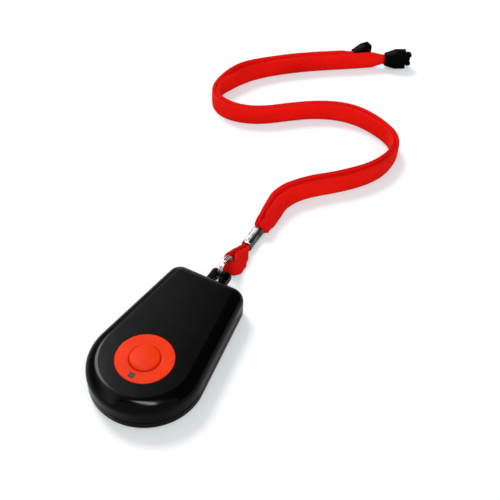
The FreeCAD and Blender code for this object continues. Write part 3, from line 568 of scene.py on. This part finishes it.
# %% The crimp's sleeve
rim = list(bm.edges)
one_step = (0, crimp_length / CRIMP_STEPS, 0)
for _ in range(CRIMP_STEPS):
    made = bmesh.ops.extrude_edge_only(bm, edges=rim)["geom"]
    rim = only(bmesh.types.BMEdge, made)
    bmesh.ops.translate(bm, verts=only(bmesh.types.BMVert, made), vec=one_step)
for vertex in bm.verts:
    along = math.pi * (vertex.co.y - low[1]) / crimp_length
    ripple = RIPPLE_DEPTH * math.sin(RIPPLES * along) ** 2
    waist = 1 - WAIST * math.sin(along) ** 2 - ripple
    vertex.co.x = crimp_middle.x + (vertex.co.x - crimp_middle.x) * waist
    vertex.co.z = crimp_middle.z + (vertex.co.z - crimp_middle.z) * waist
bmesh.ops.recalc_face_normals(bm, faces=bm.faces)
bmesh.ops.solidify(bm, geom=bm.faces, thickness=CRIMP_WALL)
crimp_sleeve = piece_from(bm, "crimp_sleeve", crimp_plate)
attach(crimp_sleeve, "lanyard")
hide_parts("lanyard_crimp")
print("crimp faces:", len(crimp_sleeve.data.polygons))

# %% [markdown]
# The tape runs in one length from one half of the clasp, through the crimp, round the ring and back
# to the other half, so two strands lie side by side. Each strand is its own free cord here. Nothing
# but the way it fell decides its route, so that is a list of given points.

# %% The tape's routes, in millimetres
OUTER_ROUTE = (
    (0.0, 64.9, 5.0),
    (2.4, 64.4, 4.8),
    (3.6, 67.5, 3.7),
    (2.2, 72.4, 3.6),
    (2.6, 77.0, 3.1),
    (1.1, 81.0, 2.4),
    (1.0, 86.0, 2.3),
    (1.0, 93.2, 2.3),
    (1.1, 94.9, 2.4),
    (2.6, 96.6, 4.0),
    (2.3, 103.0, 5.0),
    (2.2, 115.3, 5.0),
    (5.5, 123.6, 5.0),
    (11.6, 131.1, 5.0),
    (18.5, 137.8, 5.0),
    (25.7, 145.6, 5.0),
    (31.7, 154.2, 5.0),
    (35.2, 162.9, 5.0),
    (36.2, 171.8, 5.0),
    (35.8, 179.7, 5.0),
    (32.0, 186.5, 5.0),
    (25.4, 191.3, 5.0),
    (15.5, 195.9, 5.0),
    (4.4, 197.9, 5.0),
    (-5.8, 195.8, 5.0),
    (-16.9, 190.0, 5.0),
    (-28.0, 180.9, 5.0),
    (-38.0, 171.7, 5.0),
    (-47.7, 167.0, 5.0),
    (-57.1, 166.5, 5.0),
    (-64.4, 169.2, 5.0),
    (-68.4, 174.9, 5.0),
    (-69.6, 181.9, 5.0),
    (-67.4, 189.2, 5.0),
    (-64.3, 197.6, 5.0),
    (-59.1, 206.5, 5.0),
    (-51.9, 214.8, 5.0),
    (-43.2, 223.2, 5.0),
    (-33.2, 231.5, 5.0),
    (-22.3, 239.4, 5.0),
    (-14.4, 245.4, 5.0),
    (-6.9, 250.7, 5.3),
    (-1.0, 254.5, 5.5),
)
INNER_ROUTE = (
    (0.0, 64.9, 5.0),
    (-2.2, 64.6, 4.9),
    (-3.1, 67.4, 4.8),
    (-1.4, 72.0, 4.3),
    (-0.8, 77.0, 3.2),
    (-1.0, 81.0, 2.4),
    (-1.0, 86.0, 2.3),
    (-1.0, 93.2, 2.3),
    (-1.0, 94.9, 2.4),
    (-0.7, 96.8, 4.5),
    (-0.8, 103.4, 5.2),
    (-1.8, 116.4, 5.2),
    (2.2, 126.1, 5.0),
    (8.5, 134.1, 5.0),
    (15.7, 140.6, 5.0),
    (22.6, 148.3, 5.0),
    (28.6, 156.2, 5.0),
    (32.3, 164.1, 5.0),
    (34.2, 171.9, 5.0),
    (33.8, 179.1, 5.0),
    (30.4, 185.2, 5.0),
    (24.4, 189.5, 5.0),
    (15.4, 193.0, 5.0),
    (5.0, 194.7, 5.0),
    (-4.8, 193.2, 5.0),
    (-15.8, 188.3, 5.0),
    (-26.8, 179.2, 5.0),
    (-36.8, 170.0, 5.0),
    (-47.0, 164.9, 5.0),
    (-57.2, 163.6, 5.0),
    (-65.8, 167.4, 5.0),
    (-70.5, 174.0, 5.0),
    (-71.8, 181.9, 5.0),
    (-71.3, 191.6, 5.0),
    (-68.6, 202.0, 5.0),
    (-62.5, 210.0, 5.0),
    (-54.8, 217.9, 5.0),
    (-46.0, 226.3, 5.0),
    (-35.8, 234.4, 5.0),
    (-29.0, 239.2, 5.0),
    (-22.6, 243.3, 5.3),
    (-18.5, 248.6, 5.5),
)
print("route points:", len(OUTER_ROUTE), "and", len(INNER_ROUTE))

# %% [markdown]
# A smooth NURBS curve follows each list of points, and rounds every corner between them. Blender
# turns the curve into a row of points close together, and the sum of their distances is the
# strand's length.

# %% From routes to strands
def route_points(name, route):
    """Points close together on the smooth curve that a route controls, in metres."""
    curve = bpy.data.curves.new(name, "CURVE")
    curve.dimensions = "3D"
    spline = curve.splines.new("NURBS")
    spline.points.add(len(route) - 1)
    for point, (x, y, z) in zip(spline.points, route):
        point.co = (x * MM, y * MM, z * MM, 1)
    spline.order_u = 3
    spline.use_endpoint_u = True
    spline.resolution_u = 10
    holder = in_scene(name, curve)
    bpy.context.view_layer.update()
    mesh = bpy.data.meshes.new_from_object(holder)
    points = [vertex.co.copy() for vertex in mesh.vertices]
    bpy.data.objects.remove(holder)
    return points


def lengths_along(points):
    """How far along the curve each point lies."""
    lengths = [0.0]
    for a, b in zip(points, points[1:]):
        lengths.append(lengths[-1] + (b - a).length)
    return lengths


outer_points = route_points("outer_route", OUTER_ROUTE)
inner_points = route_points("inner_route", INNER_ROUTE)
for points in (outer_points, inner_points):
    print("strand:", round(lengths_along(points)[-1] / MM, 1), "mm in", len(points), "points")

# %% [markdown]
# A tape isn't the same all along. It is narrow where it hugs the ring, squeezed in the crimp, and
# gathered into the clasp, and it leans a little here and there, as a tape on its edge does. A table
# gives its width, its thickness and its lean at a few distances along each strand. Smooth steps
# between the rows keep the tape free of kinks.

# %% The tape's widths and leans
# each row: distance, width and thickness in millimetres, and lean in degrees
OUTER_TABLE = (
    (0.0, 6.6, 1.2, -18.0),
    (3.5, 6.7, 1.2, -22.0),
    (6.0, 7.7, 1.3, -28.0),
    (10.0, 8.6, 1.3, -36.0),
    (14.0, 6.4, 1.5, -24.0),
    (18.5, 3.3, 1.6, 0.0),
    (31.0, 3.3, 1.6, 0.0),
    (34.6, 9.0, 1.9, -5.0),
    (41.0, 10.0, 2.0, -19.0),
    (47.0, 10.0, 2.0, -18.0),
    (56.0, 10.0, 2.0, -8.0),
    (70.0, 10.0, 2.0, 0.0),
)
INNER_TABLE = (
    (0.0, 6.6, 1.2, 18.0),
    (3.5, 7.0, 1.2, 4.0),
    (6.0, 7.2, 1.3, -4.0),
    (10.0, 7.2, 1.3, -6.0),
    (14.0, 5.8, 1.5, -4.0),
    (18.5, 3.3, 1.6, 0.0),
    (31.2, 3.3, 1.6, 0.0),
    (35.4, 9.2, 1.9, -6.0),
    (42.0, 10.0, 2.0, -11.0),
    (50.0, 10.0, 2.0, -14.0),
    (58.0, 10.0, 2.0, -6.0),
    (68.0, 10.0, 2.0, 0.0),
)
TAPE_WIDTH, TAPE_THICKNESS = 10.0, 2.0
GATHERED_LENGTH, GATHERED_WIDTH = 9.0, 5.8


def with_clasp_end(table, length):
    """The table with its last rows, where the tape is gathered into the clasp."""
    plain = (length - GATHERED_LENGTH, TAPE_WIDTH, TAPE_THICKNESS, 0.0)
    gathered = (length, GATHERED_WIDTH, TAPE_THICKNESS, 0.0)
    return (*table, plain, gathered)


def eased(table, distance):
    """The table's values at a distance along the strand, eased between its rows."""
    if distance <= table[0][0]:
        return table[0][1:]
    for low, high in zip(table, table[1:]):
        if distance <= high[0]:
            t = (distance - low[0]) / (high[0] - low[0])
            t = t * t * (3 - 2 * t)
            return [a + (b - a) * t for a, b in zip(low[1:], high[1:])]
    return table[-1][1:]


print("rows in the tables:", len(OUTER_TABLE), "and", len(INNER_TABLE))

# %% [markdown]
# The tape's section is a loop of points with flat faces and round borders. It starts as a circle
# whose points are pushed outwards, as on a superellipse. Its points are put in order from the lower
# border round, because the weave's map counts them.

# %% The tape's section
SECTION_SIDES = 28
FACE_CURVE, BORDER_CURVE = 0.38, 0.75  # 1 is round, and the nearer to 0, the flatter


def tape_section(bm):
    """The section's points from the lower border round: x is across the tape, y along its width."""
    loop = bmesh.ops.create_circle(bm, segments=SECTION_SIDES, radius=1.0)["verts"]
    angles = {vertex: math.atan2(vertex.co.y, vertex.co.x) for vertex in loop}
    for vertex, angle in angles.items():
        x = math.copysign(abs(math.cos(angle)) ** FACE_CURVE, math.cos(angle))
        y = math.copysign(abs(math.sin(angle)) ** BORDER_CURVE, math.sin(angle))
        vertex.co = (x, y, 0)
    return sorted(loop, key=lambda vertex: (angles[vertex] + math.pi / 2) % (2 * math.pi))


def grown(bm, loop):
    """Extrudes a loop of points on the spot, and gives the new points in the same order."""
    rim = [
        next(edge for edge in vertex.link_edges if edge.other_vert(vertex) is following)
        for vertex, following in zip(loop, loop[1:] + loop[:1])
    ]
    made = bmesh.ops.extrude_edge_only(bm, edges=rim)["geom"]
    fresh = set(only(bmesh.types.BMVert, made))
    neighbours = ([edge.other_vert(vertex) for edge in vertex.link_edges] for vertex in loop)
    return [next(vertex for vertex in around if vertex in fresh) for around in neighbours]


print("sides of the section:", SECTION_SIDES)

# %% [markdown]
# The section is swept along the strand: at each point it is extruded on the spot, and then moved,
# turned and stretched to its new place. The tape never sinks into the table, however it leans.
# Each point keeps its distance along the strand and its number round the section, from which the
# weave's map is made.

# %% Sweeping the tape
def station(points, index, width, thickness, lean):
    """The matrix that brings the section to one point of a strand, upright but for its lean."""
    before, after = points[max(index - 1, 0)], points[min(index + 1, len(points) - 1)]
    ahead = (after - before).normalized()
    upright = (Vector((0, 0, 1)) - ahead * ahead.z).normalized()
    upright = Matrix.Rotation(math.radians(lean), 3, ahead) @ upright
    across = ahead.cross(upright)
    half_width, half_thickness = width / 2 * MM, thickness / 2 * MM
    lowest = abs(upright.z) * half_width + abs(across.z) * half_thickness
    centre = Vector((points[index].x, points[index].y, max(points[index].z, lowest)))
    return placing(across * half_thickness, upright * half_width, ahead * MM, centre)


def map_weave(bm, where):
    """A UV map in metres, along and round the tape, from each point's distance and number."""
    weave = bm.loops.layers.uv.new("weave")
    for face in bm.faces:
        numbers = [where[loop.vert][1] for loop in face.loops]
        wraps = max(numbers) - min(numbers) > SECTION_SIDES / 2
        for loop in face.loops:
            distance, number = where[loop.vert]
            if wraps and number == 0:
                number = SECTION_SIDES
            loop[weave].uv = (distance, number / SECTION_SIDES * TAPE_ROUND)


def tape(name, points, table):
    """A mesh tape along the points. The table holds distance, width, thickness and lean."""
    bm = bmesh.new()
    first = loop = tape_section(bm)
    where, last = {}, Matrix.Identity(4)
    for index, distance in enumerate(lengths_along(points)):
        if index:
            loop = grown(bm, loop)
        place = station(points, index, *eased(table, distance / MM))
        bmesh.ops.transform(bm, matrix=place @ last.inverted(), verts=loop)
        last = place
        where.update({vertex: (distance, number) for number, vertex in enumerate(loop)})
    for end in (first, loop):
        bmesh.ops.contextual_create(bm, geom=end)
    bmesh.ops.recalc_face_normals(bm, faces=bm.faces)
    map_weave(bm, where)
    return piece_from(bm, name, woven)


print("ready to sweep")

# %% [markdown]
# Both strands are swept and put under the lanyard's empty, as the crimp is, and the frame's strap
# is hidden.

# %% The two strands
for name, points, table, with_pieces in (
    ("outer_strand", outer_points, OUTER_TABLE, ["clasp_plug", crimp_sleeve]),
    ("inner_strand", inner_points, INNER_TABLE, ["clasp_socket"]),
):
    length = lengths_along(points)[-1]
    strand = tape(name, points, with_clasp_end(table, length / MM))
    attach(strand, "lanyard")
    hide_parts("lanyard_strap")
    print(name, "faces:", len(strand.data.polygons))

# %% [markdown]
# The pendant lies on a plain white table. A large plane catches its shadow. Only rays that end in
# the camera, a clear part or a reflection see the extra glow that lifts the table to white, and
# reflections see a fifth of it. So the glow doesn't light the pendant, and the shadows stay.

# %% Table
TABLE_REACH, TABLE_DROP = 3.0, 0.03 * MM  # in metres
GLOW, GLOW_IN_MIRRORS = 0.40, 0.2
white_table, tree, shader = finish(
    "white_table",
    Roughness=0.9,
    Specular_IOR_Level=0.0,
    Base_Color=(0.65, 0.63, 0.625, 1),
    Emission_Color=(0.79, 0.89, 0.92, 1),
)
rays = tree.nodes.new("ShaderNodeLightPath").outputs
mirrored = arithmetic(tree, "MULTIPLY", rays["Is Glossy Ray"], GLOW_IN_MIRRORS)
seen = arithmetic(tree, "MAXIMUM", rays["Is Camera Ray"], mirrored)
seen = arithmetic(tree, "MAXIMUM", seen, rays["Is Transmission Ray"])
feed(tree, arithmetic(tree, "MULTIPLY", seen, GLOW), shader.inputs["Emission Strength"])
bm = bmesh.new()
bmesh.ops.create_grid(bm, x_segments=1, y_segments=1, size=TABLE_REACH)
bmesh.ops.translate(bm, verts=bm.verts, vec=(0, 0, -TABLE_DROP))
table_top = piece_from(bm, "table_top", white_table)
print("table laid")

# %% [markdown]
# The light is that of a small studio: a pale surround, a key lamp at the back left that throws the
# soft shadows to the right, and a wide fill from the front right. Shiny things also need a room to
# mirror. So rays that a surface reflects see a dark room with one soft box on its left, which a
# ramp over the direction draws, and what the camera sees directly stays white.

# %% The surround
PLAIN_LIGHT, MIRRORED_LIGHT, WHITE = 0.55, 2.9, 1.0
SOFT_BOX = ((0.3, 0.03), (0.43, 1.0), (0.52, 1.0), (0.78, 0.1))  # how far left, and how bright


def either(tree, switch, off, on):
    """One of two strengths, as a ray's kind says."""
    node = tree.nodes.new("ShaderNodeMix")
    for value, name in ((switch, "Factor"), (off, "A"), (on, "B")):
        feed(tree, value, node.inputs[name])
    return node.outputs["Result"]


world = bpy.data.worlds.new("studio")
bpy.context.scene.world = world
world.use_nodes = True
tree = world.node_tree
surround = tree.nodes["Background"]
surround.inputs["Color"].default_value = (1, 1, 1, 1)
(right_end, dark), *inner, (left_end, dim) = SOFT_BOX
to_left = arithmetic(tree, "MULTIPLY", split(tree, coordinates(tree, "Generated"))["X"], -1.0)
soft_box = blend_colors(tree, to_left, [dark] * 3, [dim] * 3, right_end, left_end)
for position, grey in inner:
    soft_box.node.color_ramp.elements.new(position).color = (grey, grey, grey, 1)
rays = tree.nodes.new("ShaderNodeLightPath").outputs
mirrored = arithmetic(tree, "MULTIPLY", soft_box, MIRRORED_LIGHT)
strength = either(tree, rays["Is Glossy Ray"], PLAIN_LIGHT, mirrored)
direct = arithmetic(tree, "MAXIMUM", rays["Is Camera Ray"], rays["Is Transmission Ray"])
feed(tree, either(tree, direct, strength, WHITE), surround.inputs["Strength"])
print("surround ready")

# %% [markdown]
# Sun lamps stand for the two far lights, because they light the case and the end of the tape
# alike. The wider their angle, the softer their shadow. The thin bright line on the case's front
# edge comes from a lit strip that only shows in reflections.

# %% Lamps
def far_lamp(name, energy, degrees_wide, source):
    """A lamp like a far bright window, given by its strength, its width and where it stands."""
    lamp = in_scene(name, bpy.data.lights.new(name, "SUN"))
    lamp.data.energy = energy
    lamp.data.angle = math.radians(degrees_wide)
    lamp.rotation_euler = (-Vector(source)).to_track_quat("-Z", "Y").to_euler()


def glint_strip(name, power, size, source, degrees_turned):
    """A lit strip one metre away that only shows in reflections, as a bright line on an edge."""
    strip = in_scene(name, bpy.data.lights.new(name, "AREA"))
    strip.data.shape = "ELLIPSE"
    strip.data.size, strip.data.size_y = size
    strip.data.energy = power
    strip.visible_diffuse = False
    strip.location = Vector(source).normalized()
    aim = (-strip.location).to_track_quat("-Z", "Y").to_matrix()
    about_itself = Matrix.Rotation(math.radians(degrees_turned), 3, "Z")
    strip.rotation_euler = (aim @ about_itself).to_euler()


far_lamp("key_lamp", energy=1.95, degrees_wide=18, source=(-0.72, 0.42, 1.0))
far_lamp("front_fill", energy=1.25, degrees_wide=100, source=(0.45, -0.75, 0.3))
glint_strip(
    "front_edge_strip",
    power=16.0,
    size=(0.75, 0.2),
    source=(0.17, -0.29, 0.93),
    degrees_turned=-59,
)
